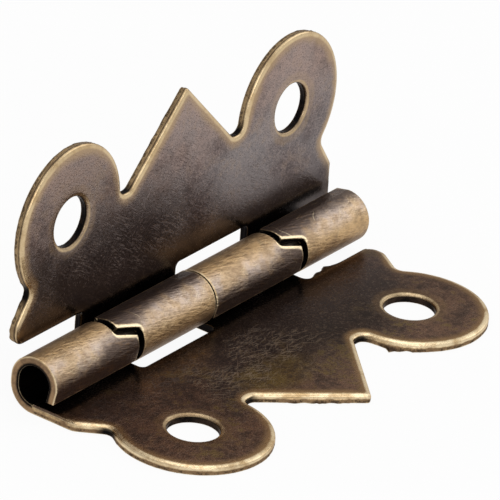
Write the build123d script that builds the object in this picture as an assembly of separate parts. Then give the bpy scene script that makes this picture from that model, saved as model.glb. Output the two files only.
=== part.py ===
from build123d import *
import math
import os

os.makedirs("parts", exist_ok=True)

# Box hinge with a built-in stop: two equal leaves, stamped and rolled from sheet, on one wire pin.
# Millimetres. +Z is up, the pin runs along X, and the lower leaf lies on z = 0 and points to -Y.
# The origin is midway between the lower leaf's screw holes, on its mounting face.

# sheet and barrel
leaf_length = 30.0
sheet = 0.55
barrel_d = 3.2
curl_drop = 0.3
curl_tail = 0.85
curl_lean = 0.15

# leaf outline: distances from the pin axis along the leaf, and from the ends and the lobes across it
hole_from_pin = 7.9
hole_d = 3.0
lobe_d = 9.2
lobe_overhang = 0.05
tongue_from_pin = 12.7
notch_gap = 0.95
waist_inset = 1.25
shoulder_run = 1.2
slot_clearance = 0.1

# rounding of the outline
tongue_round = 0.25
notch_round = 0.55
waist_round = 0.6
shoulder_round = 0.8
end_round = 0.75
slot_round = 0.35
edge_roll = 0.14

# knuckles: the middle joint is plain, and each stepped joint lies between two distances from the middle
knuckle_gap = 0.1
step_inner = 7.05
step_outer = 8.7
step_gap = 0.5
step_round = 0.3

# angles between the leaves: as they rest, and where the stop edges would meet
rest_angle = 92.0
stop_at = 82.0
stop_slant = 21.0
root_gap = 0.12

# pin
pin_clearance = 0.05
pin_recess = 3.0

barrel_r = barrel_d / 2
bore_r = barrel_r - sheet
face_drop = barrel_r + curl_drop
half_length = leaf_length / 2
slot_from_pin = barrel_r + slot_clearance

# the lobes end just past the leaf's ends, the tongue fills what they leave, and the notches are level
# with the holes
lobe_r = lobe_d / 2
hole_x = half_length + lobe_overhang - lobe_r
notch_from_pin = hole_from_pin
tongue_half = hole_x - lobe_r - notch_gap

# the flank slants in from the shoulder at the leaf's end to the waist, where the lobe begins
shoulder_from_pin = slot_from_pin + shoulder_run
waist_x = half_length - waist_inset
waist_v = hole_from_pin - math.sqrt(lobe_r**2 - (waist_x - hole_x) ** 2)

# ends of the knuckles along the pin, and of the cuts that make their steps
outer_end = -step_inner - step_gap / 2
outer_step = -step_outer - step_gap / 2
inner_start = knuckle_gap / 2
inner_end = step_outer - step_gap / 2
inner_step = step_inner - step_gap / 2

# angle along the curl, from the leaf, at which the middle of the stop edge lies
stop_angle = (540 - stop_at) / 2


def box_between(x0, x1, v0, v1):
    """Rectangle in the leaf's plane, from x0 to x1 and from v0 to v1 off the pin axis."""
    middle = Pos((x0 + x1) / 2, -(v0 + v1) / 2)
    return middle * Rectangle(abs(x1 - x0), abs(v1 - v0))


def near(vertices, x, v):
    """Vertices at plus and minus x, at a distance v from the pin axis."""
    found = []
    for vertex in vertices:
        if abs(abs(vertex.X) - x) < 0.02 and abs(-vertex.Y - v) < 0.02:
            found.append(vertex)
    return found


def leaf_outline():
    """The flat of the leaf: two lobes, the tongue, the waist and the shoulders, with both slots."""
    plate = make_face(
        Polyline(
            (-half_length, 0),
            (half_length, 0),
            (half_length, -shoulder_from_pin),
            (waist_x, -waist_v),
            (hole_x, -notch_from_pin),
            (-hole_x, -notch_from_pin),
            (-waist_x, -waist_v),
            (-half_length, -shoulder_from_pin),
            close=True,
        )
    )
    tongue = make_face(
        Polyline(
            (-tongue_half, -notch_from_pin),
            (0, -tongue_from_pin),
            (tongue_half, -notch_from_pin),
            close=True,
        )
    )
    lobes = [Pos(side * hole_x, -hole_from_pin) * Circle(lobe_r) for side in (-1, 1)]
    flat = plate + tongue + lobes

    # the corners that the tools round: waist, shoulders, notches and the tip of the tongue
    lobe_x = hole_x - lobe_r
    flat = fillet(near(flat.vertices(), waist_x, waist_v), waist_round)
    flat = fillet(near(flat.vertices(), half_length, shoulder_from_pin), shoulder_round)
    corners = near(flat.vertices(), tongue_half, notch_from_pin)
    corners += near(flat.vertices(), lobe_x, notch_from_pin)
    flat = fillet(corners, notch_round)
    flat = fillet(near(flat.vertices(), 0, tongue_from_pin), tongue_round)

    holes = [Pos(side * hole_x, -hole_from_pin) * Circle(hole_d / 2) for side in (-1, 1)]
    flat -= holes

    # slots that the other leaf's knuckles turn in, as long as the whole rings of those knuckles
    first = (-inner_step - knuckle_gap, inner_start)
    second = (-outer_step - knuckle_gap, half_length)
    for x0, x1 in (first, second):
        flat -= box_between(x0, x1, 0, slot_from_pin)
    corners = near(flat.vertices(), abs(first[0]), slot_from_pin)
    corners += near(flat.vertices(), abs(first[1]), slot_from_pin)
    corners += near(flat.vertices(), abs(second[0]), slot_from_pin)
    flat = fillet(corners, slot_round)
    return fillet(near(flat.vertices(), half_length, slot_from_pin), end_round)


def leaf_plate():
    """The sheet's flat part, with the small bevel that the punch leaves on its upper edges."""
    plate = extrude(Pos(0, 0, -face_drop) * leaf_outline(), sheet)
    rim = []
    for edge in plate.edges():
        box = edge.bounding_box()
        on_top = box.min.Z > sheet - face_drop - 0.001
        if on_top and -box.max.Y > slot_from_pin + slot_round:
            rim.append(edge)
    return chamfer(rim, edge_roll)


def curl_section():
    """The sheet's path round the pin: up the back from the leaf, over the pin and down a tail that leans in."""
    ring = Circle(barrel_r) - Circle(bore_r)
    upper = ring - Pos(0, -barrel_r) * Rectangle(2 * barrel_r, 2 * barrel_r)
    lower = Pos(0, -curl_drop) * (ring & Pos(barrel_r / 2, -barrel_r / 2) * Rectangle(barrel_r, barrel_r))
    wall_y = (barrel_r + bore_r) / 2
    back = Pos(wall_y, -curl_drop / 2) * Rectangle(sheet, curl_drop)
    tail = make_face(
        Polyline(
            (-barrel_r, 0),
            (-bore_r, 0),
            (curl_lean - bore_r, -curl_tail),
            (curl_lean - barrel_r, -curl_tail),
            close=True,
        )
    )
    return upper + back + lower + tail


def curl(x0, x1):
    return Pos(x0, 0, 0) * extrude(Plane.YZ * curl_section(), x1 - x0)


def sector(x, end_angle):
    """Face across the barrel at x, from just short of the leaf's root round to the stop edge."""
    reach = 1.4 * face_drop
    root = -root_gap / 2
    points = [(root, 0), (root, -reach)]
    for angle in (-40, 20, 80, end_angle - 90):
        turn = math.radians(angle)
        points.append((reach * math.cos(turn), reach * math.sin(turn)))
    return Pos(x, 0, 0) * (Plane.YZ * make_face(Polyline(*points, close=True)))


def inner_corner(cut, x, end_angle):
    """The edge of the cut where its flat end meets the stop edge."""
    turn = math.radians(end_angle - 90)
    toward = Vector(0, math.cos(turn), math.sin(turn))
    found = []
    for edge in cut.edges():
        middle = edge.center() - Vector(x, 0, 0)
        across = middle - toward * middle.dot(toward)
        if abs(middle.X) < 0.001 and middle.dot(toward) > 0 and across.length < root_gap:
            found.append(edge)
    return found


def step_cut(x0, x1):
    """What is taken from the end of a curl, so that the other leaf's tab can swing there."""
    over = 0.5
    rate = stop_slant / (x1 - x0)
    first = stop_angle - stop_slant / 2
    last = stop_angle + stop_slant / 2 + rate * over
    cut = loft([sector(x0, first), sector(x1 + over, last)], ruled=True)
    return fillet(inner_corner(cut, x0, first), step_round)


def leaf():
    """One leaf about the pin axis, its mounting face under the barrel, pointing to -Y."""
    whole = leaf_plate() + curl(-half_length, outer_end) + curl(inner_start, inner_end)
    whole -= step_cut(outer_step, outer_end)
    whole -= step_cut(inner_step, inner_end)
    return whole


pin_axis = Pos(0, hole_from_pin, face_drop)
blank = leaf()

lower_leaf = pin_axis * blank
lower_leaf.label = "lower_leaf"

# The upper leaf is the same stamping, turned half a turn about the line that halves the rest angle.
turned = blank.rotate(Axis.Z, 180).rotate(Axis.X, 180 - rest_angle)
upper_leaf = pin_axis * turned
upper_leaf.label = "upper_leaf"

pin_length = leaf_length - 2 * pin_recess
pin = Pos(-pin_length / 2, 0, 0) * extrude(Plane.YZ * Circle(bore_r - pin_clearance), pin_length)
hinge_pin = pin_axis * pin
hinge_pin.label = "hinge_pin"

for piece in (lower_leaf, upper_leaf, hinge_pin):
    export_step(piece, f"parts/{piece.label}.step")
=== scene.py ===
import bpy
import math
import numpy as np
from mathutils import Matrix, Vector, kdtree
from mathutils.noise import fractal


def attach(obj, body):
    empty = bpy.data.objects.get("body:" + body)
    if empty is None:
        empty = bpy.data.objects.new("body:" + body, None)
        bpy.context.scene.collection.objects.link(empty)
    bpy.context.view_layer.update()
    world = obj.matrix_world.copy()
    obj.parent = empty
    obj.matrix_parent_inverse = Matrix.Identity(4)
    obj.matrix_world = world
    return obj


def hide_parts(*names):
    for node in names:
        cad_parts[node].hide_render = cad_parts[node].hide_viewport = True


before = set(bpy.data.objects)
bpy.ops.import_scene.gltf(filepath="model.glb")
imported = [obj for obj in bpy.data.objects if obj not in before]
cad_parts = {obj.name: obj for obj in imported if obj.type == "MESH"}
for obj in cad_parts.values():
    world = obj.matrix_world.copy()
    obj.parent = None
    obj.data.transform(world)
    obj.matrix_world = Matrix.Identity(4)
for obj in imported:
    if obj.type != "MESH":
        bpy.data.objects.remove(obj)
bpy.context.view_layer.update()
print("frame loaded:", ", ".join(sorted(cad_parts)))

mm = 0.001
tiny = 1e-6     # keeps a division clear of zero
scene = bpy.context.scene

# the hinge's own lines, in millimetres and degrees, as the frame has them
hinge = {
    "pinY": 7.9,
    "pinZ": 1.9,
    "sheet": 0.55,
    "barrelR": 1.6,
    "restAngle": 92.0,
}


# modelling helpers: operators act on what is selected, so each starts from nothing selected

def selectOnly(piece):
    if bpy.context.object and bpy.context.object.mode != "OBJECT":
        bpy.ops.object.mode_set(mode="OBJECT")
    bpy.ops.object.select_all(action="DESELECT")
    piece.select_set(True)
    bpy.context.view_layer.objects.active = piece


def editAll(piece):
    selectOnly(piece)
    bpy.ops.object.mode_set(mode="EDIT")
    bpy.ops.mesh.select_all(action="SELECT")


def editDone():
    bpy.ops.object.mode_set(mode="OBJECT")


def applied(piece, kind, name, **settings):
    selectOnly(piece)
    modifier = piece.modifiers.new(name, kind)
    for key, value in settings.items():
        setattr(modifier, key, value)
    bpy.ops.object.modifier_apply(modifier=name)


def readVectors(piece, what):
    flat = np.empty(len(piece.data.vertices) * 3, np.float32)
    piece.data.vertices.foreach_get(what, flat)
    return flat.reshape(-1, 3).astype(float)


def places(piece):
    return readVectors(piece, "co") / mm


def setPlaces(piece, place):
    piece.data.vertices.foreach_set("co", (place * mm).astype(np.float32).ravel())
    piece.data.update()


def addLayer(piece, name, values, kind="FLOAT", domain="POINT"):
    layer = piece.data.attributes.new(name, kind, domain)
    key = "vector" if kind == "FLOAT_VECTOR" else "value"
    layer.data.foreach_set(key, np.asarray(values, np.float32).ravel())


def smoothStep(low, high, value):
    t = np.clip((value - low) / (high - low), 0, 1)
    return t * t * (3 - 2 * t)


# leaf: one stamping, modelled lying flat as the lower leaf and copied for the upper one
leafShape = {
    "samePoint": 1e-7,          # points closer than this are one, m
    "weld": 0.03,               # what the merge takes in, mm
    "flatAngle": 2.0,           # faces within this lie in one plane, degrees
    "rimAngle": 30.0,           # an edge sharper than this is a rim, degrees
    "smoothAngle": 40.0,        # and one sharper than this stays sharp in shading, degrees
    "rimRoll": 0.095,           # how far the rims of the upper face are rolled, mm
    "sharpShare": 0.55,         # the other rims are rolled by this share of it
    "rimSteps": 3,
    "rimBand": 0.16,            # rims of the upper face lie within this below it, mm
    "rimSlack": 0.01,           # and within this above it, mm
    "rimOffPin": 2.0,           # and further from the pin axis than this, mm
    "gridStep": 0.24,           # spacing of the cuts over the sheet, mm
    "gridShift": 0.37,          # how far the cuts are moved in, as a share of their spacing
    "wallRows": (0.1, 0.2, 0.3, 0.4),
    "barrelFrom": 0.63,         # the cuts across the barrel start at this height, mm
    "rimSample": 0.08,          # spacing of the points that the wear is measured from, mm
    "dieWide": 0.6,             # the punch draws the upper face down along its rims, this wide and deep, mm
    "dieDeep": 0.035,
    "dieBelow": (0.12, 0.02),   # not at all and in full this far below the upper face, mm
    "dieOffPin": 1.9,           # and only further from the pin axis than this, mm
    "holeX": 10.45,
    "waist": (13.75, 3.2),
    "notch": (5.4, 0.2),
    "curl": (0.3, 0.85, 0.15),  # drop of the curl's back, length of its tail and how far that leans in, mm
    "tailSide": -0.5,           # the tail lies further to the front than this, mm
}


def leafBlank(node, name):
    piece = bpy.data.objects.new(name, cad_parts[node].data.copy())
    scene.collection.objects.link(piece)
    piece.data.materials.clear()
    editAll(piece)
    bpy.ops.mesh.remove_doubles(threshold=leafShape["samePoint"])
    bpy.ops.mesh.remove_doubles(threshold=leafShape["weld"] * mm)
    bpy.ops.mesh.dissolve_limited(angle_limit=math.radians(leafShape["flatAngle"]), delimit={"NORMAL"})
    editDone()
    return piece


def rimEdges(piece):
    # the ends, in mm, of every sharp edge, by the edge's number
    faces = {}
    for face in piece.data.polygons:
        for key in face.edge_keys:
            faces.setdefault(key, []).append(face.normal.copy())
    found = {}
    for edge in piece.data.edges:
        sides = faces.get(edge.key, [])
        if len(sides) == 2 and sides[0].angle(sides[1], 0) > math.radians(leafShape["rimAngle"]):
            found[edge.index] = [piece.data.vertices[k].co / mm for k in edge.vertices]
    return found


def weighRims(piece, edges):
    # the rims of the upper face are rolled further than the rest
    weights = np.zeros(len(piece.data.edges), np.float32)
    low = hinge["sheet"] - leafShape["rimBand"]
    high = hinge["sheet"] + leafShape["rimSlack"]
    front = hinge["pinY"] - leafShape["rimOffPin"]
    for index, ends in edges.items():
        onFace = all(low < end.z < high and end.y < front for end in ends)
        weights[index] = 1.0 if onFace else leafShape["sharpShare"]
    addLayer(piece, "bevel_weight_edge", weights, domain="EDGE")


def rimPoints(edges):
    # points along the rims, to measure the wear from
    found = []
    for first, last in edges.values():
        count = max(1, int((last - first).length / leafShape["rimSample"]))
        found += [first.lerp(last, k / count) for k in range(count + 1)]
    return found


def distances(place, samples):
    tree = kdtree.KDTree(len(samples))
    for index, sample in enumerate(samples):
        tree.insert(sample, index)
    tree.balance()
    return np.array([tree.find(point)[2] for point in place])


def cutAcross(place, normal):
    bpy.ops.mesh.select_all(action="SELECT")
    bpy.ops.mesh.bisect(plane_co=place, plane_no=normal, threshold=leafShape["samePoint"])


def cutGrid(piece):
    # even cuts over the sheet, so that wear and burrs have points to live on
    low = places(piece).min(0)
    high = places(piece).max(0)
    step = leafShape["gridStep"]
    editAll(piece)
    for axis in (0, 1):
        normal = Vector((axis == 0, axis == 1, 0))
        for k in range(1, int((high[axis] - low[axis]) / step)):
            place = Vector((0, 0, 0))
            place[axis] = (low[axis] + (k + leafShape["gridShift"]) * step) * mm
            cutAcross(place, normal)
    barrelRows = np.arange(leafShape["barrelFrom"], high[2], step)
    for height in (*leafShape["wallRows"], *barrelRows):
        cutAcross((0, 0, height * mm), (0, 0, 1))
    editDone()


blank = leafBlank("lower_leaf", "lowerLeaf")
sharp = rimEdges(blank)
rims = rimPoints(sharp)
weighRims(blank, sharp)
applied(
    blank, "BEVEL", "rolledRims",
    width=leafShape["rimRoll"] * mm,
    segments=leafShape["rimSteps"],
    limit_method="WEIGHT",
    use_clamp_overlap=False,
    loop_slide=False,
    miter_outer="MITER_ARC",
)
cutGrid(blank)
selectOnly(blank)
bpy.ops.object.shade_smooth_by_angle(angle=math.radians(leafShape["smoothAngle"]))


def drawDown(piece):
    # the upper face falls away softly to its rims
    place = places(piece)
    near = np.clip(1 - distances(place, rims) / leafShape["dieWide"], 0, 1)
    low, high = (hinge["sheet"] - below for below in leafShape["dieBelow"])
    top = smoothStep(low, high, place[:, 2])
    top = top * (place[:, 1] < hinge["pinY"] - leafShape["dieOffPin"])
    top = top * (place[:, 2] < hinge["sheet"] + leafShape["rimSlack"])
    place[:, 2] -= leafShape["dieDeep"] * near * near * top
    setPlaces(piece, place)


# how the parts of a leaf are told apart, by distance in mm or by how squarely a point faces some way
leafMarks = {
    "curlOut": 2.05,                # the curl lies within this of the pin axis
    "curlClear": 0.05,              # and, in front of the axis, clear of the plate by this
    "turnFrom": -60.0,              # turns round the curl are counted on from here, degrees
    "rootTurn": 270.0,              # and at this the curl runs into the plate
    "cutFacing": (0.5, 0.85),       # ends of the curl, by facing along the pin
    "wallFacing": (0.25, 0.8),      # sheared edges, by facing away from up and down
    "insideFacing": (0.2, -0.4),    # inside of the curl, by facing the pin
    "gapFacing": (0.4, 0.8),        # edges of the curl, by facing neither in nor out
    "freeEnd": 14.5,                # past this, the curl's end is a free one
    "plateEnd": 14.3,               # and so is the plate's, from the shoulder on
    "shoulder": (4.2, 5.6),
    "holeShadow": 1.75,
    "holeRim": (2.3, 1.9),
    "shadedNook": (1.2, 0.4),             # round the waists and notches, painted as shade
    "crevice": (4.0, 1.5),          # under the barrel, from the pin axis
    "creviceEnd": 14.4,
    "upFacing": (-0.3, 0.6),        # a crevice isn't on the underside, and at its ends only on the upper face
}


def curlReach(offY, offZ):
    # distance from the curl's own middle line, which is straight in the tail and at the back
    drop, tail, lean = leafShape["curl"]
    back = np.hypot(offY, np.where(offZ > 0, offZ, np.minimum(offZ + drop, 0)))
    front = np.where(offZ > 0, np.hypot(offY, offZ), -offY - lean * offZ / tail)
    return np.where(offY > leafShape["tailSide"], back, front)


def markLeaf(piece):
    # what the finish needs to know: distance to the rims, and which part of the sheet a point is on
    place = places(piece)
    facing = readVectors(piece, "normal")
    offY = place[:, 1] - hinge["pinY"]
    offZ = place[:, 2] - hinge["pinZ"]
    reach = np.hypot(offY, offZ)
    outward = (facing[:, 1] * offY + facing[:, 2] * offZ) / np.maximum(reach, tiny)
    side = np.abs(place[:, 0])

    clear = leafMarks["curlClear"]
    curl = (reach < leafMarks["curlOut"]) & ((offY > -clear) | (place[:, 2] > hinge["sheet"] + clear))
    turn = np.degrees(np.arctan2(offZ, -offY))
    turn = np.where(turn < leafMarks["turnFrom"], turn + 360, turn)
    cut = smoothStep(*leafMarks["cutFacing"], np.abs(facing[:, 0])) * curl
    wall = ~curl * (1 - smoothStep(*leafMarks["wallFacing"], np.abs(facing[:, 2])))
    free = side > leafMarks["freeEnd"]
    plateEnd = wall * (side > leafMarks["plateEnd"]) * smoothStep(*leafMarks["shoulder"], place[:, 1])
    fromHole = np.hypot(side - leafShape["holeX"], place[:, 1])
    nooks = [np.hypot(side - x, place[:, 1] - y) for x, y in (leafShape["waist"], leafShape["notch"])]
    low, high = leafMarks["upFacing"]
    inner = (facing[:, 2] > low) * ((side < leafMarks["creviceEnd"]) | (facing[:, 2] > high))

    addLayer(piece, "rimDist", distances(place, rims))
    addLayer(piece, "barrel", curl * 1.0)
    addLayer(piece, "curlTurn", turn)
    addLayer(piece, "inside", curl * smoothStep(*leafMarks["insideFacing"], outward) * (1 - cut))
    addLayer(piece, "cutEnd", np.maximum(cut * free, plateEnd))
    addLayer(piece, "gap", curl * (1 - smoothStep(*leafMarks["gapFacing"], np.abs(outward))) * ~free)
    addLayer(piece, "wall", wall)
    addLayer(piece, "hole", wall * (fromHole < leafMarks["holeShadow"]))
    addLayer(piece, "holeRim", smoothStep(*leafMarks["holeRim"], fromHole))
    addLayer(piece, "shadedNook", wall * smoothStep(*leafMarks["shadedNook"], np.minimum(*nooks)))
    addLayer(piece, "crevice", ~curl * smoothStep(*leafMarks["crevice"], -offY) * inner)

    # places on the sheet as it was before rolling: round the curl they run on from the plate
    unrolled = place.copy()
    rolledOff = np.radians(leafMarks["rootTurn"] - turn[curl]) * hinge["barrelR"]
    unrolled[curl, 1] = hinge["pinY"] + rolledOff
    unrolled[curl, 2] = np.clip(hinge["barrelR"] - curlReach(offY, offZ)[curl], 0, hinge["sheet"])
    addLayer(piece, "sheetPlace", unrolled, "FLOAT_VECTOR")


# torn edges: the punch leaves the mounting side ragged, with burrs, and a few bulges the whole edge high;
# each as (x, y, half length, out) in mm
tornEdges = {
    "lowerLeaf": {
        "ragged": 0.03,
        "grain": 2.2,
        "seed": 3.0,
        "burrs": (
            (6.3, -1.9, 0.5, 0.55), (7.0, -3.0, 0.5, 0.18),
            (-3.2, -1.65, 0.5, 0.2), (-2.2, -2.65, 0.6, 0.24), (-1.2, -3.6, 0.4, 0.15),
        ),
        "bulges": ((10.0, 6.2, 0.4, 0.22), (11.0, 6.2, 0.6, 0.32)),
    },
    "upperLeaf": {
        "ragged": 0.05,
        "grain": 2.9,
        "seed": 17.0,
        "burrs": (
            (14.2, 3.9, 0.4, 0.12), (14.9, 5.2, 0.5, 0.06),
            (3.0, -1.9, 0.9, 0.08), (1.6, -3.2, 0.4, 0.1),
        ),
        "bulges": (),
    },
}
tornShape = {
    "facing": (0.4, 0.75),      # edges, by facing away from up and down
    "offPin": 1.2,              # only the plate's, further from the pin axis than this, mm
    "foot": (0.3, 0.1),         # burrs grow towards the mounting face, mm
    "noise": (1.0, 2.0, 3),     # fineness, gap between octaves, octaves
    "sunk": 0.3,                # the ragged edge is drawn in by this share on the whole
    "burrGrain": (0.75, 0.6),   # evenness and raggedness of the burrs, and of the bulges
    "bulgeGrain": (0.85, 0.4),
    "burrMark": (0.05, 0.16),   # what stands out this far is marked as a burr, for its painted shade, mm
}


def lumps(here, spots):
    total = 0.0
    for x, y, half, high in spots:
        far = math.hypot(here.x - x, here.y - y) / half
        total += high * math.exp(-far * far)
    return total


def tearEdges(piece, torn):
    place = places(piece)
    facing = readVectors(piece, "normal")
    level = np.linalg.norm(facing[:, :2], axis=1)
    flat = facing[:, :2] / np.maximum(level, tiny)[:, None]
    edge = smoothStep(*tornShape["facing"], level) * (place[:, 2] < hinge["sheet"])
    edge = edge * (place[:, 1] < hinge["pinY"] - tornShape["offPin"])
    foot = smoothStep(*tornShape["foot"], place[:, 2])
    burrEven, burrRagged = tornShape["burrGrain"]
    bulgeEven, bulgeRagged = tornShape["bulgeGrain"]
    push = np.zeros(len(place))
    for index in np.nonzero(edge > 0)[0]:
        here = Vector(place[index])
        ragged = fractal(here * torn["grain"] + Vector((torn["seed"], 0, 0)), *tornShape["noise"])
        out = torn["ragged"] * (ragged - tornShape["sunk"])
        out += lumps(here, torn["burrs"]) * (burrEven + burrRagged * ragged)
        out *= foot[index]
        out += lumps(here, torn["bulges"]) * (bulgeEven + bulgeRagged * ragged)
        push[index] = out * edge[index]
    addLayer(piece, "burr", smoothStep(*tornShape["burrMark"], push))
    low = place.min(0)
    high = place.max(0)
    place[:, :2] += flat * push[:, None]
    setPlaces(piece, np.clip(place, low, high))


drawDown(blank)
markLeaf(blank)
lowerLeaf = blank
upperLeaf = bpy.data.objects.new("upperLeaf", blank.data.copy())
scene.collection.objects.link(upperLeaf)
tearEdges(lowerLeaf, tornEdges["lowerLeaf"])
tearEdges(upperLeaf, tornEdges["upperLeaf"])
print("leaf modelled:", len(blank.data.polygons), "faces")

pin = Matrix.Translation((0, hinge["pinY"] * mm, hinge["pinZ"] * mm))
halfTurn = Matrix.Rotation(math.pi, 4, "Z")
swing = Matrix.Rotation(math.radians(180 - hinge["restAngle"]), 4, "X")
upperLeaf.data.transform(pin @ swing @ halfTurn @ pin.inverted())
print("upper leaf turned to", hinge["restAngle"], "degrees")


# shader maths: one class for a link in a node tree, with the sums that the finishes use

class Link:
    def __init__(self, tree, socket):
        self.tree = tree
        self.socket = socket

    def node(self, kind, settings, inputs, output=0):
        made = self.tree.nodes.new(kind)
        for key, value in settings.items():
            setattr(made, key, value)
        for key, value in inputs.items():
            if isinstance(value, Link):
                self.tree.links.new(value.socket, made.inputs[key])
            else:
                made.inputs[key].default_value = value
        return Link(self.tree, made.outputs[output])

    def sum(self, operation, a, b):
        return self.node("ShaderNodeMath", {"operation": operation}, {0: a, 1: b})

    def __add__(self, other):
        return self.sum("ADD", self, other)

    def __radd__(self, other):
        return self.sum("ADD", other, self)

    def __sub__(self, other):
        return self.sum("SUBTRACT", self, other)

    def __rsub__(self, other):
        return self.sum("SUBTRACT", other, self)

    def __mul__(self, other):
        return self.sum("MULTIPLY", self, other)

    def __rmul__(self, other):
        return self.sum("MULTIPLY", other, self)

    def highest(self, other):
        return self.sum("MAXIMUM", self, other)

    def between(self, low, high):
        return self.node(
            "ShaderNodeMapRange",
            {"interpolation_type": "SMOOTHSTEP"},
            {"Value": self, "From Min": low, "From Max": high},
        )

    def band(self, rise, fall):
        return self.between(*rise) * self.between(*fall)

    def beside(self, output):
        # another output of the node that this link comes from
        return Link(self.tree, self.socket.node.outputs[output])

    def feed(self, taker, name):
        self.tree.links.new(self.socket, taker.inputs[name])


def startFinish(name):
    finish = bpy.data.materials.new(name)
    finish.use_nodes = True
    tree = finish.node_tree
    return finish, tree.nodes["Principled BSDF"], Link(tree, None)


def mixed(share, under, over):
    return share.node("ShaderNodeMix", {"data_type": "RGBA"}, {0: share, 6: under, 7: over}, 2)


def colour(r, g, b):
    return (r, g, b, 1.0)


def noise(start, place, scale, detail, rough, distortion=0.0):
    return start.node(
        "ShaderNodeTexNoise",
        {"noise_dimensions": "3D"},
        {"Vector": place, "Scale": scale, "Detail": detail, "Roughness": rough, "Distortion": distortion},
    )


def stretched(start, place, turn, along, across):
    # places turned in the sheet's plane and drawn out, for scratches
    return start.node(
        "ShaderNodeMapping",
        {"vector_type": "TEXTURE"},
        {
            "Vector": place,
            "Rotation": (0, 0, math.radians(turn)),
            "Scale": (1 / along, 1 / across, 1 / across),
        },
    )


def moved(start, place, step):
    return start.node("ShaderNodeVectorMath", {"operation": "ADD"}, {0: place, 1: step})


def numberOf(start, name):
    return start.node("ShaderNodeAttribute", {"attribute_name": name}, {}, 2)


def placeOf(start, name):
    return start.node("ShaderNodeAttribute", {"attribute_name": name}, {}, 1)


noiseMiddle = 0.5


def weighed(noises, shares):
    # noises added up by their shares
    total = None
    for key, share in shares.items():
        part = noises[key] * share
        total = part if total is None else total + part
    return total


def swayed(noises, shares):
    # the same about the middle level, to push a border to and fro
    return weighed({key: noises[key] - noiseMiddle for key in shares}, shares)


# antique bronze on sheet: dark cloudy patina, rubbed to brass on rims and barrel, near black for soot and
# painted shade
bronzeLook = {
    "brass": colour(0.56, 0.405, 0.255),
    "mauve": colour(0.5, 0.405, 0.345),
    "cream": colour(0.92, 0.765, 0.51),
    "golden": colour(0.6, 0.405, 0.21),
    # near black: soot in the crevices, and painted shade in holes, nooks, gaps and inside the curl
    "sootAndShade": colour(0.006, 0.005, 0.005),
    "edgeDark": colour(0.035, 0.022, 0.016),
    "edgeBrown": colour(0.18, 0.108, 0.06),
    "edgeGold": colour(0.52, 0.365, 0.19),
    "endBrown": colour(0.19, 0.12, 0.07),
    "endRed": colour(0.31, 0.195, 0.105),
    "barrelBrown": colour(0.19, 0.122, 0.073),
    "barrelPlum": colour(0.12, 0.088, 0.072),
}
# each leaf's own wear, patina and painted shade; spots are (x, y, half length, half width) in mm on the sheet
lowerLook = {
    "dark": colour(0.021, 0.016, 0.0155),
    "mid": colour(0.097, 0.063, 0.05),
    "grey": colour(0.055, 0.044, 0.042),
    "brown": colour(0.225, 0.127, 0.083),
    "olive": colour(0.19, 0.132, 0.045),
    "gold": colour(0.34, 0.205, 0.095),
    "fleck": colour(0.3, 0.23, 0.165),
    "graze": colour(0.75, 0.69, 0.65),
    "shadeTint": colour(0.105, 0.09, 0.094),
    "tornTint": colour(0.2, 0.122, 0.066),
    "mottleShare": 1.1,
    "grainShare": 1.9,
    "brownShare": 0.35,
    "greyShare": 0.4,
    "oliveShare": 0.65,
    "oliveSpot": (-2.0, 0.6, 3.4, 1.9),
    "oliveSpotShare": 0.9,
    "hairWays": (0, 12, -15, 38, -40),
    "hairSpot": (-1.5, 2.4, 6.5, 3.6),
    "hairShare": 0.75,
    "scratchShare": 0.1,
    "fadeShare": 0.85,
    "shadeShare": 0.42,
    "tailShare": 0.6,
    "grimeAndShadeShare": 0.3,
    "nearShare": 0.7,
    "farShare": 0.6,
    "spot": (6.0, 3.6, 9.0, 5.0),
    "spotShare": 0.75,
    "rimShare": 0.8,
    "tornShare": 0.8,
    "stripeShare": 0.0,
    "burnishAndSheen": 0.9,
    "rough": 0.26,
    "shift": (0.0, 0.0, 0.0),
}
upperLook = {
    "dark": colour(0.042, 0.031, 0.031),
    "mid": colour(0.225, 0.176, 0.168),
    "grey": colour(0.29, 0.263, 0.26),
    "brown": colour(0.41, 0.285, 0.235),
    "olive": colour(0.3, 0.215, 0.145),
    "gold": colour(0.42, 0.29, 0.165),
    "fleck": colour(0.4, 0.325, 0.29),
    "graze": colour(0.84, 0.81, 0.8),
    "shadeTint": colour(0.115, 0.092, 0.09),
    "tornTint": colour(0.035, 0.022, 0.016),
    "mottleShare": 0.5,
    "grainShare": 1.2,
    "brownShare": 0.5,
    "greyShare": 0.6,
    "oliveShare": 0.3,
    "oliveSpot": (9.0, -2.0, 5.0, 3.0),
    "oliveSpotShare": 0.35,
    "hairWays": (-31, -24, -39),
    "hairSpot": (6.0, 3.4, 7.0, 3.6),
    "hairShare": 0.35,
    "scratchShare": 0.45,
    "fadeShare": 0.8,
    "shadeShare": 0.5,
    "tailShare": 0.9,
    "grimeAndShadeShare": 0.9,
    "nearShare": 0.0,
    "farShare": 0.0,
    "spot": (7.0, 4.6, 10.0, 4.8),
    "spotShare": 0.75,
    "rimShare": 0.35,
    "tornShare": 0.9,
    "stripeShare": 0.9,
    "burnishAndSheen": 0.0,
    "rough": 0.24,
    "shift": (61.0, 23.0, 5.0),
}

# noises of the finish, over the sheet in mm: scale, detail, roughness and distortion
sheetNoises = {
    "stain": (0.15, 3.0, 0.5, 0.6),
    "cloud": (0.4, 5.0, 0.62),
    "blot": (1.0, 4.0, 0.65, 0.4),
    "speck": (2.4, 4.0, 0.7),
    "grain": (6.0, 3.0, 0.7),
    "fine": (11.0, 2.0, 0.7),
}

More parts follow.
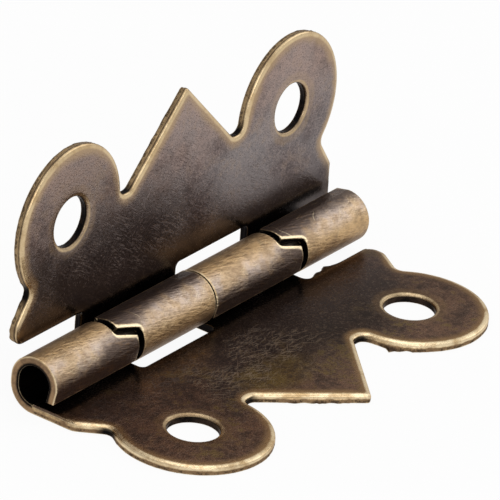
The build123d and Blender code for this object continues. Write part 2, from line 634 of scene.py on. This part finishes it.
# scratches: streaks along the barrel, short hairs, and a few that wind over the sheet
scratchLook = {
    "streakNoise": (1.0, 3.0, 0.6),
    "streakWay": (14, 1.3, 6.0),        # turn in degrees, then fineness along and across
    "hairNoise": (1.0, 2.0, 0.6),
    "hairFine": (0.8, 9.0),
    "hairStep": (3.7, -2.9),
    "hairLevel": (0.6, 0.67),
    "hairPatch": (0.35, 3.0, 0.55),
    "hairPatchLevel": (0.38, 0.56),
    "windNoise": (0.55, 1.0, 0.5),
    "windShift": (7.0, 3.0, 0.0),
    "windHalf": 0.012,
    "windPatch": (0.8, 1.0, 0.5),
    "windPatchShift": (31.0, 5.0, 0.0),
    "windPatchLevel": (0.52, 0.58),
}


def hairLines(start, place, ways):
    # short hair scratches in several directions over the sheet, thicker in patches
    stepX, stepY = scratchLook["hairStep"]
    lines = None
    for step, way in enumerate(ways, 1):
        aside = moved(start, place, (step * stepX, step * stepY, 0))
        drawn = stretched(start, aside, way, *scratchLook["hairFine"])
        line = noise(start, drawn, *scratchLook["hairNoise"]).between(*scratchLook["hairLevel"])
        lines = line if lines is None else lines.highest(line)
    thick = noise(start, place, *scratchLook["hairPatch"])
    return lines * thick.between(*scratchLook["hairPatchLevel"])


def windingScratches(start, place):
    # thin bands where a slow noise passes its middle level
    slow = noise(start, moved(start, place, scratchLook["windShift"]), *scratchLook["windNoise"])
    half = scratchLook["windHalf"]
    line = (slow - noiseMiddle).band((-half, 0.0), (half, 0.0))
    here = noise(start, moved(start, place, scratchLook["windPatchShift"]), *scratchLook["windPatch"])
    return line * here.between(*scratchLook["windPatchLevel"])


# patina of the sheet: clouds and blotches, greyer in patches, browner towards the tips and ends, with painted
# shade towards the barrel
patinaLook = {
    "toneSway": {"cloud": 1.2, "blot": 1.8, "speck": 1.5},
    "tone": (0.1, 0.9),
    "grey": (0.38, 0.6),
    "mottleMix": {"blot": 0.6, "speck": 0.4},
    "mottle": (0.38, 0.6),
    "tipSway": {"cloud": 7.0},          # borders in mm, along the leaf and then along the pin
    "tips": (2.5, -3.5),
    "tipShare": 0.8,
    "nearSway": {"cloud": 12.0},
    "nearEnd": (-3.0, -12.0),
    "farSway": {"cloud": 9.0},
    "farEnd": (7.0, 13.0),
    "brownMottle": 0.75,
    "oliveMix": {"cloud": 0.35, "blot": 0.35, "speck": 0.3},
    "olive": (0.52, 0.6),
    "oliveMottle": (0.2, 0.8),
    "patchEdge": (1.2, 0.1),
    "shade": (0.5, 6.0),
    "fleck": (0.53, 0.66),
    "fleckShare": 0.2,
    "pit": (0.48, 0.35),
    "pitShare": 0.7,
    "fadeSway": {"cloud": 0.5, "blot": 0.6},
    "fade": (0.7, 0.08),                # wear around the rims, mm
    "holeKeeps": 0.75,                  # how much less of it there is round the holes and in crevices
    "creviceKeeps": 0.8,
}


def patch(at, noises, spot):
    # a soft-edged oval patch on the sheet
    x, y, halfLong, halfWide = spot
    offX = (at["along"] - x) * (1 / halfLong)
    offY = (at["toTip"] - y) * (1 / halfWide)
    return (offX * offX + offY * offY + (noises["cloud"] - noiseMiddle)).between(*patinaLook["patchEdge"])


def patina(at, noises, hairs, look):
    tone = swayed(noises, patinaLook["toneSway"]) * look["mottleShare"]
    tone = tone + swayed(noises, {"grain": look["grainShare"]}) + noiseMiddle
    body = mixed(tone.between(*patinaLook["tone"]), look["dark"], look["mid"])
    body = mixed(noises["stain"].between(*patinaLook["grey"]) * look["greyShare"], body, look["grey"])

    mottle = weighed(noises, patinaLook["mottleMix"]).between(*patinaLook["mottle"]) * look["mottleShare"]
    tips = (at["toTip"] + swayed(noises, patinaLook["tipSway"])).between(*patinaLook["tips"])
    nearEnd = (at["along"] + swayed(noises, patinaLook["nearSway"])).between(*patinaLook["nearEnd"])
    farEnd = (at["along"] + swayed(noises, patinaLook["farSway"])).between(*patinaLook["farEnd"])
    ends = (nearEnd * look["nearShare"]).highest(farEnd * look["farShare"])
    browned = (tips * patinaLook["tipShare"]).highest(ends)
    body = mixed(browned * (look["brownShare"] + mottle * patinaLook["brownMottle"]), body, look["brown"])

    olive = weighed(noises, patinaLook["oliveMix"]).between(*patinaLook["olive"])
    body = mixed(olive * look["oliveShare"], body, look["olive"])
    least, more = patinaLook["oliveMottle"]
    yellowed = patch(at, noises, look["oliveSpot"]) * (least + mottle * more)
    body = mixed(yellowed * look["oliveSpotShare"], body, look["olive"])
    body = mixed(patch(at, noises, look["spot"]) * look["spotShare"], body, look["dark"])
    # painted shade: the sheet darkens towards the barrel
    body = mixed(at["toTip"].between(*patinaLook["shade"]) * look["shadeShare"], body, look["shadeTint"])

    flecks = noises["grain"].between(*patinaLook["fleck"])
    body = mixed(flecks * patinaLook["fleckShare"], body, look["fleck"])
    pits = noises["fine"].between(*patinaLook["pit"])
    body = mixed(pits * patinaLook["pitShare"], body, look["dark"])
    hairy = hairs * patch(at, noises, look["hairSpot"])
    body = mixed(hairy * look["hairShare"], body, look["fleck"])
    fade = (at["rimDist"] + swayed(noises, patinaLook["fadeSway"])).between(*patinaLook["fade"])
    fade = fade * (1 - at["holeRim"] * patinaLook["holeKeeps"])
    fade = fade * (1 - at["crevice"] * patinaLook["creviceKeeps"])
    return mixed(fade * look["fadeShare"], body, look["gold"])


# barrel: dark where the curl faces its own leaf, patina there with painted shade, rubbed to brass over the
# bend, golden and then brown behind, until the sheet's patina takes over; turns in degrees, 0 facing the leaf
# and 90 on top
barrelLook = {
    "stopNear": (20.0, 55.0),           # squares of the distance from the leaf's middle, mm
    "stopFar": (130.0, 90.0),
    "stopDark": 25.0,                   # beside the stops the dark part reaches further by this
    "rubbedAndUnshadedSway": {"cloud": 40.0, "blot": 50.0, "speck": 25.0},
    "rubbedAndUnshaded": (1.0, 40.0),
    "brass": (0.4, 0.6),
    "golden": (44.0, 80.0),
    "mottleMix": {"cloud": 0.3, "blot": 0.4, "streaks": 0.3},
    "mottle": (0.44, 0.6),
    "mottleShare": 0.6,
    "brown": (95.0, 118.0),
    "brownShare": 0.8,
    "strokeMix": {"streaks": 0.6, "speck": 0.4},
    "stroke": (0.47, 0.36),
    "strokeShare": 0.6,
    "hairShare": 0.22,
    "darkMix": {"blot": 0.5, "streaks": 0.5},
    "dark": (0.5, 0.62),
    "darkShare": 0.75,
    "backSway": {"cloud": 60.0, "blot": 40.0},
    "back": (112.0, 175.0),
    "endMix": {"blot": 0.5, "speck": 0.5},
    "end": (0.42, 0.58),
    "endDark": (0.3, 0.45),             # depth in the sheet, mm: the ends are dark towards the bore
}


def rolledBarrel(at, noises, hairs, scratches, look, body):
    turn = at["curlTurn"]
    brown = bronzeLook["barrelBrown"]
    curl = mixed(noises["cloud"].between(*barrelLook["brass"]), bronzeLook["mauve"], bronzeLook["brass"])
    curl = mixed(turn.between(*barrelLook["golden"]), curl, bronzeLook["golden"])
    mottle = weighed(noises, barrelLook["mottleMix"]).between(*barrelLook["mottle"])
    curl = mixed(mottle * barrelLook["mottleShare"], curl, brown)
    curl = mixed(turn.between(*barrelLook["brown"]) * barrelLook["brownShare"], curl, brown)
    stroke = weighed(noises, barrelLook["strokeMix"]).between(*barrelLook["stroke"])
    curl = mixed(stroke * barrelLook["strokeShare"], curl, brown)
    curl = mixed(hairs * barrelLook["hairShare"], curl, bronzeLook["cream"])

    # painted shade: the side of the curl facing its own leaf is dark plum and brown, partly patina
    dark = weighed(noises, barrelLook["darkMix"]).between(*barrelLook["dark"])
    shadedPatina = mixed(dark * barrelLook["darkShare"], bronzeLook["barrelPlum"], brown)
    shadedPatina = mixed(scratches * look["scratchShare"], shadedPatina, bronzeLook["cream"])
    besideStop = at["offMiddle"].band(barrelLook["stopNear"], barrelLook["stopFar"])
    rubbedAndUnshaded = turn + swayed(noises, barrelLook["rubbedAndUnshadedSway"]) - besideStop * barrelLook["stopDark"]
    curl = mixed(rubbedAndUnshaded.between(*barrelLook["rubbedAndUnshaded"]), shadedPatina, curl)

    back = (turn + swayed(noises, barrelLook["backSway"])).between(*barrelLook["back"])
    rolled = at["barrel"] * (1 - back)
    body = mixed(rolled, body, curl)
    end = weighed(noises, barrelLook["endMix"]).between(*barrelLook["end"])
    ring = mixed(end, bronzeLook["endBrown"], bronzeLook["endRed"])
    ring = mixed(at["barrel"] * at["height"].between(*barrelLook["endDark"]), ring, bronzeLook["sootAndShade"])
    body = mixed(at["cutEnd"], body, ring)
    # painted shade: the inside of the curl and the gaps between the curls are near black
    return mixed(at["inside"].highest(at["gap"]), body, bronzeLook["sootAndShade"]), rolled


# sheared edges of the sheet: smooth above, then torn, with dark dashes, and painted shade in holes, nooks and
# on burrs;
# levels are heights above the mounting face, mm
edgeLook = {
    "fleckMix": {"blot": 0.3, "speck": 0.5, "grain": 0.2},
    "fleck": (0.38, 0.6),
    "share": 0.9,
    "levelSway": {"speck": 0.12},
    "torn": (0.31, 0.18),
    "tornFleck": (0.75, 0.25),
    "tornFoot": (0.0, 0.06),
    "tornDark": 0.9,
    "stripe": ((0.27, 0.32), (0.44, 0.39)),
    "stripeLeast": 0.5,
    "lowLine": ((0.06, 0.12), (0.27, 0.2)),
    "lowLineFleck": (0.4, 0.5),
    "dash": (0.29, 0.17),
    "dashMix": {"speck": 0.6, "grain": 0.4},
    "dashLevel": (0.47, 0.54),
    "dashShare": 0.8,
    "hole": (0.4, 0.7),
    "burrShadeShare": 0.8,
    "grimeAndShade": (0.35, 0.7),
}


def shearedEdges(at, noises, look, body):
    wall = at["wall"]
    flecks = weighed(noises, edgeLook["fleckMix"]).between(*edgeLook["fleck"])
    sheared = mixed(flecks, bronzeLook["edgeBrown"], bronzeLook["edgeGold"])
    body = mixed(wall * edgeLook["share"], body, sheared)
    level = at["height"] + swayed(noises, edgeLook["levelSway"])

    # one leaf is torn along the foot of its edges, the other in a stripe with a gold line below
    least, more = edgeLook["tornFleck"]
    stripeShare = look["stripeShare"]
    foot = 1 - stripeShare + level.between(*edgeLook["tornFoot"]) * stripeShare
    torn = wall * level.between(*edgeLook["torn"]) * (least + flecks * more) * foot
    stripe = wall * level.band(*edgeLook["stripe"]) * (edgeLook["stripeLeast"] + noises["grain"])
    torn = (torn * look["tornShare"]).highest(stripe * stripeShare)
    body = mixed(torn * edgeLook["tornDark"], body, look["tornTint"])
    least, more = edgeLook["lowLineFleck"]
    lowLine = wall * level.band(*edgeLook["lowLine"]) * stripeShare
    body = mixed(lowLine * (least + flecks * more), body, bronzeLook["edgeGold"])
    dashes = weighed(noises, edgeLook["dashMix"]).between(*edgeLook["dashLevel"])
    dashes = wall * level.between(*edgeLook["dash"]) * dashes
    body = mixed(dashes * edgeLook["dashShare"], body, bronzeLook["edgeDark"])

    # painted shade: the walls of the holes are near black, blotched dark brown
    holeShadow = mixed(noises["blot"].between(*edgeLook["hole"]), bronzeLook["sootAndShade"], bronzeLook["edgeDark"])
    body = mixed(at["hole"], body, holeShadow)
    # painted shade: burrs are darkened towards dark brown
    body = mixed(at["burr"] * edgeLook["burrShadeShare"], body, bronzeLook["edgeDark"])
    # painted shade: the walls of the waists and notches are near black
    body = mixed(at["shadedNook"], body, bronzeLook["sootAndShade"])
    # painted shade under the barrel: the crevice darkens towards black, partly grime, and its walls turn
    # fully black
    least, more = edgeLook["grimeAndShade"]
    grimeAndShade = at["crevice"] * (least + noises["blot"] * more) * look["grimeAndShadeShare"]
    return mixed(grimeAndShade.highest(at["crevice"] * wall), body, bronzeLook["sootAndShade"]), torn, level


# rims worn to bare brass: wide on the faces and at the stops, thin on edges and barrel, with dark pits left;
# the upper part of the walls is painted bright, partly burnished and partly a painted highlight; widths in mm
rimLook = {
    "stop": ((40.0, 46.0), (88.0, 80.0)),       # squares of the distance from the leaf's middle, mm
    "stopTurn": ((16.0, 27.0), (66.0, 56.0)),
    "joint": (0.25, 0.04),
    "wide": 0.1,
    "wideBlot": 0.12,
    "stopWide": 0.12,
    "jointWide": 0.05,
    "barrelThin": 0.07,
    "edgeThin": 0.1,
    "holeThin": 0.05,
    "sway": {"speck": 0.04},
    "soft": (-0.04, 0.1),
    "burnishAndSheen": (0.24, 0.33),
    "tailTurn": (-20.0, -27.0),
    "tailMix": {"blot": 0.5, "speck": 0.5},
    "tail": (0.47, 0.56),
    "tailSoft": (-0.04, 0.04),
    "ringOuter": (0.12, 0.04),
    "ringShare": 0.6,
    "plateRim": (0.4, 0.48),
    "nookKeeps": 0.95,
    "insideKeeps": 0.9,
    "brightMix": {"cloud": 0.4, "blot": 0.6},
    "bright": (0.36, 0.56),
    "holeDull": 0.5,
    "pitMix": {"speck": 0.6, "grain": 0.4},
    "pit": (0.43, 0.34),
    "pitShare": 0.35,
}


def wornRims(at, noises, level, look, body):
    barrel = at["barrel"]
    atStop = at["offMiddle"].band(*rimLook["stop"]) * at["curlTurn"].band(*rimLook["stopTurn"])
    atJoint = at["offMiddle"].between(*rimLook["joint"])
    onBarrel = atStop * rimLook["stopWide"] + atJoint * rimLook["jointWide"] - rimLook["barrelThin"]
    wide = rimLook["wide"] + noises["blot"] * rimLook["wideBlot"] + barrel * onBarrel
    wide = wide - at["wall"].highest(at["gap"]) * rimLook["edgeThin"] - at["holeRim"] * rimLook["holeThin"]
    worn = (wide - at["rimDist"] - swayed(noises, rimLook["sway"])).between(*rimLook["soft"])
    # the upper part of the walls is painted bright: partly burnished, partly a painted highlight of the
    # rolled edge
    worn = worn.highest(at["wall"] * level.between(*rimLook["burnishAndSheen"]) * look["burnishAndSheen"])

    # the end of the curl's tail is bare in places
    tail = barrel * at["curlTurn"].between(*rimLook["tailTurn"])
    tail = tail * weighed(noises, rimLook["tailMix"]).between(*rimLook["tail"])
    tail = tail * (rimLook["wide"] - at["rimDist"]).between(*rimLook["tailSoft"])
    worn = worn.highest(tail * look["tailShare"])

    # free ends have rims of their own: the ring's outer one and the plate's upper one
    ringRim = at["height"].between(*rimLook["ringOuter"]) * rimLook["ringShare"]
    ringRim = ringRim.highest(at["height"].between(*rimLook["plateRim"]) * (1 - barrel))
    worn = worn * (1 - at["cutEnd"]) + at["cutEnd"] * ringRim
    worn = worn * (1 - at["shadedNook"] * rimLook["nookKeeps"]) * (1 - at["inside"] * rimLook["insideKeeps"])
    worn = worn * (1 - at["crevice"]) * (1 - at["hole"])

    bright = weighed(noises, rimLook["brightMix"]).between(*rimLook["bright"]) * look["rimShare"]
    bright = bright.highest(barrel * atStop) * (1 - at["holeRim"] * rimLook["holeDull"])
    bare = mixed(bright, bronzeLook["edgeGold"], bronzeLook["cream"])
    pits = weighed(noises, rimLook["pitMix"]).between(*rimLook["pit"])
    bare = mixed(pits * rimLook["pitShare"], bare, bronzeLook["edgeBrown"])
    return mixed(worn, body, bare), worn


# gloss and relief of the bronze
surfaceLook = {
    "roughSway": {"cloud": 0.15, "grain": 0.25},
    "roughBarrel": 0.08,
    "roughBehind": 0.12,
    "behind": (60.0, 85.0),
    "roughTorn": 0.25,
    "roughWall": 0.08,
    "reliefMix": {"grain": 0.6, "fine": 0.4, "speck": 0.5},
    "reliefHairs": 0.4,
    "wornSmooth": 0.7,
    "creviceSmooth": 0.85,
    "barrelMix": {"blot": 1.4, "streaks": 4.0, "speck": 2.4},
    "tornMix": {"speck": 2.0},
    "bump": 0.5,
    "bumpHigh": 0.00003,
}
markNames = (
    "rimDist", "barrel", "curlTurn", "inside", "cutEnd", "gap",
    "wall", "hole", "holeRim", "shadedNook", "crevice", "burr",
)


def bronze(name, look):
    finish, shader, start = startFinish(name)
    sheet = placeOf(start, "sheetPlace")
    at = {mark: numberOf(start, mark) for mark in markNames}
    at["along"] = start.node("ShaderNodeSeparateXYZ", {}, {0: sheet})
    at["toTip"] = at["along"].beside(1)
    at["height"] = at["along"].beside(2)
    at["offMiddle"] = at["along"] * at["along"]

    place = moved(start, sheet, look["shift"])
    noises = {key: noise(start, place, *settings) for key, settings in sheetNoises.items()}
    drawn = stretched(start, place, *scratchLook["streakWay"])
    noises["streaks"] = noise(start, drawn, *scratchLook["streakNoise"])
    hairs = hairLines(start, place, look["hairWays"])
    scratches = windingScratches(start, place)

    body = patina(at, noises, hairs, look)
    body, rolled = rolledBarrel(at, noises, hairs, scratches, look, body)
    body, torn, level = shearedEdges(at, noises, look, body)
    body, worn = wornRims(at, noises, level, look, body)
    body.feed(shader, "Base Color")
    shader.inputs["Metallic"].default_value = 1.0
    shader.inputs["Specular Tint"].default_value = look["graze"]

    behind = at["curlTurn"].between(*surfaceLook["behind"]) * surfaceLook["roughBehind"]
    rough = look["rough"] + swayed(noises, surfaceLook["roughSway"])
    rough = rough + at["barrel"] * (surfaceLook["roughBarrel"] + behind)
    rough = rough + torn * surfaceLook["roughTorn"] + at["wall"] * surfaceLook["roughWall"]
    rough.feed(shader, "Roughness")

    relief = weighed(noises, surfaceLook["reliefMix"]) - hairs * surfaceLook["reliefHairs"]
    relief = relief * (1 - worn * surfaceLook["wornSmooth"])
    relief = relief * (1 - at["crevice"] * surfaceLook["creviceSmooth"])
    relief = relief + rolled * weighed(noises, surfaceLook["barrelMix"])
    relief = relief + torn * weighed(noises, surfaceLook["tornMix"])
    bump = {"Strength": surfaceLook["bump"], "Distance": surfaceLook["bumpHigh"], "Height": relief}
    start.node("ShaderNodeBump", {}, bump).feed(shader, "Normal")
    return finish


lowerLeaf.data.materials.append(bronze("bronzeLower", lowerLook))
upperLeaf.data.materials.append(bronze("bronzeUpper", upperLook))

# drawn wire for the pin
wireLook = {
    "dark": colour(0.03, 0.025, 0.02),
    "pale": colour(0.09, 0.075, 0.06),
    "lineWay": (0, 300.0, 9000.0),      # turn in degrees, then fineness along and across
    "lineNoise": (1.0, 3.0, 0.6),
    "lineLevel": (0.3, 0.7),
    "rough": (0.32, 0.2),
    "bump": 0.2,
    "bumpHigh": 0.00002,
}


def wire(name):
    finish, shader, start = startFinish(name)
    place = start.node("ShaderNodeTexCoord", {}, {}, 3)
    lines = noise(start, stretched(start, place, *wireLook["lineWay"]), *wireLook["lineNoise"])
    body = mixed(lines.between(*wireLook["lineLevel"]), wireLook["dark"], wireLook["pale"])
    body.feed(shader, "Base Color")
    shader.inputs["Metallic"].default_value = 1.0
    least, more = wireLook["rough"]
    (least + lines * more).feed(shader, "Roughness")
    bump = {"Strength": wireLook["bump"], "Distance": wireLook["bumpHigh"], "Height": lines}
    start.node("ShaderNodeBump", {}, bump).feed(shader, "Normal")
    return finish


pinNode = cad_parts["hinge_pin"]
pinNode.data.materials.clear()
pinNode.data.materials.append(wire("pinWire"))
print("finishes made")

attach(lowerLeaf, "lower")
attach(upperLeaf, "upper")
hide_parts("lower_leaf")
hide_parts("upper_leaf")

# stage: pale floor, white to the eye and in reflections, with the hinge's shadow kept
stage = {
    "floorSize": 3.0,       # m
    "floorDrop": 0.02,      # mm
    "floorColour": 0.86,
    "plainWhite": 0.93,
}

bpy.ops.object.select_all(action="DESELECT")
bpy.ops.mesh.primitive_plane_add(size=stage["floorSize"], location=(0, 0, -stage["floorDrop"] * mm))
floor = bpy.context.object
floor.name = "floor"


def lightRays(start):
    # rays from the eye, from glossy surfaces and through clear ones
    eye = start.node("ShaderNodeLightPath", {}, {}, 0)
    return eye, eye.beside("Is Glossy Ray"), eye.beside("Is Transmission Ray")


def paleFloor():
    finish, shader, start = startFinish("paleFloor")
    start.tree.nodes.remove(shader)
    eye, glossy, through = lightRays(start)
    share = eye.highest(glossy).highest(through) * stage["plainWhite"]
    level = stage["floorColour"]
    matt = start.node("ShaderNodeBsdfDiffuse", {}, {"Color": colour(level, level, level)})
    white = start.node("ShaderNodeEmission", {}, {"Color": colour(1, 1, 1), "Strength": 1.0})
    both = start.node("ShaderNodeMixShader", {}, {0: share, 1: matt, 2: white})
    both.feed(start.tree.nodes["Material Output"], "Surface")
    return finish


floor.data.materials.append(paleFloor())

# room: white to the eye, soft grey behind the hinge in reflections
room = {"fill": 0.55, "behind": 0.6, "front": 0.85, "turn": (0.1, 0.55)}


def paintRoom():
    world = bpy.data.worlds.new("room")
    scene.world = world
    world.use_nodes = True
    start = Link(world.node_tree, None)
    eye, glossy, through = lightRays(start)
    way = start.node("ShaderNodeTexCoord", {}, {}, 0)
    across = start.node("ShaderNodeSeparateXYZ", {}, {0: way}, 1)
    mirror = room["front"] + across.between(*room["turn"]) * (room["behind"] - room["front"])
    level = glossy * mirror + (1 - glossy) * room["fill"]
    shown = eye.highest(through)
    walls = world.node_tree.nodes["Background"]
    walls.inputs["Color"].default_value = colour(1, 1, 1)
    (level * (1 - shown) + shown).feed(walls, "Strength")


paintRoom()

# lamps: soft boxes, each aimed at the hinge, by place and size in m and power in W
lampAim = Vector((0, 0.004, 0.006))
lamps = {
    "keyBox": ((0.40, -0.20, 0.30), (0.42, 0.34), 0.4),
    "sideBox": ((-0.30, -0.38, 0.30), (0.3, 0.3), 0.5),
    "topBox": ((0.0, 0.02, 0.55), (0.5, 0.4), 0.8),
}


def softBox(name, place, size, watts):
    lamp = bpy.data.lights.new(name, "AREA")
    lamp.shape = "RECTANGLE"
    lamp.size, lamp.size_y = size
    lamp.energy = watts
    holder = bpy.data.objects.new(name, lamp)
    holder.location = place
    holder.rotation_euler = (lampAim - Vector(place)).to_track_quat("-Z", "Y").to_euler()
    scene.collection.objects.link(holder)


for name, (place, size, watts) in lamps.items():
    softBox(name, place, size, watts)

# camera, at the photograph's angle with its slight roll: mm and degrees, and its clip in m
shot = {
    "aim": (-0.935, 3.820, 6.808),
    "distance": 483.62,
    "azimuth": -56.489,
    "elevation": 26.952,
    "roll": -6.103,
    "lens": 618.1,
    "sensor": 36.0,
    "clip": (0.01, 20.0),
}

azimuth = math.radians(shot["azimuth"])
elevation = math.radians(shot["elevation"])
away = Vector((
    math.sin(azimuth) * math.cos(elevation),
    -math.cos(azimuth) * math.cos(elevation),
    math.sin(elevation),
))
lens = bpy.data.cameras.new("camera")
lens.lens = shot["lens"]
lens.sensor_width = shot["sensor"]
lens.clip_start, lens.clip_end = shot["clip"]
camera = bpy.data.objects.new("camera", lens)
scene.collection.objects.link(camera)
camera.location = (Vector(shot["aim"]) + away * shot["distance"]) * mm
straight = (-away).to_track_quat("-Z", "Y")
tilt = Matrix.Rotation(-math.radians(shot["roll"]), 3, "Z").to_quaternion()
camera.rotation_mode = "QUATERNION"
camera.rotation_quaternion = straight @ tilt
scene.camera = camera
scene.view_settings.view_transform = "Standard"
print("stage, lamps and camera set")
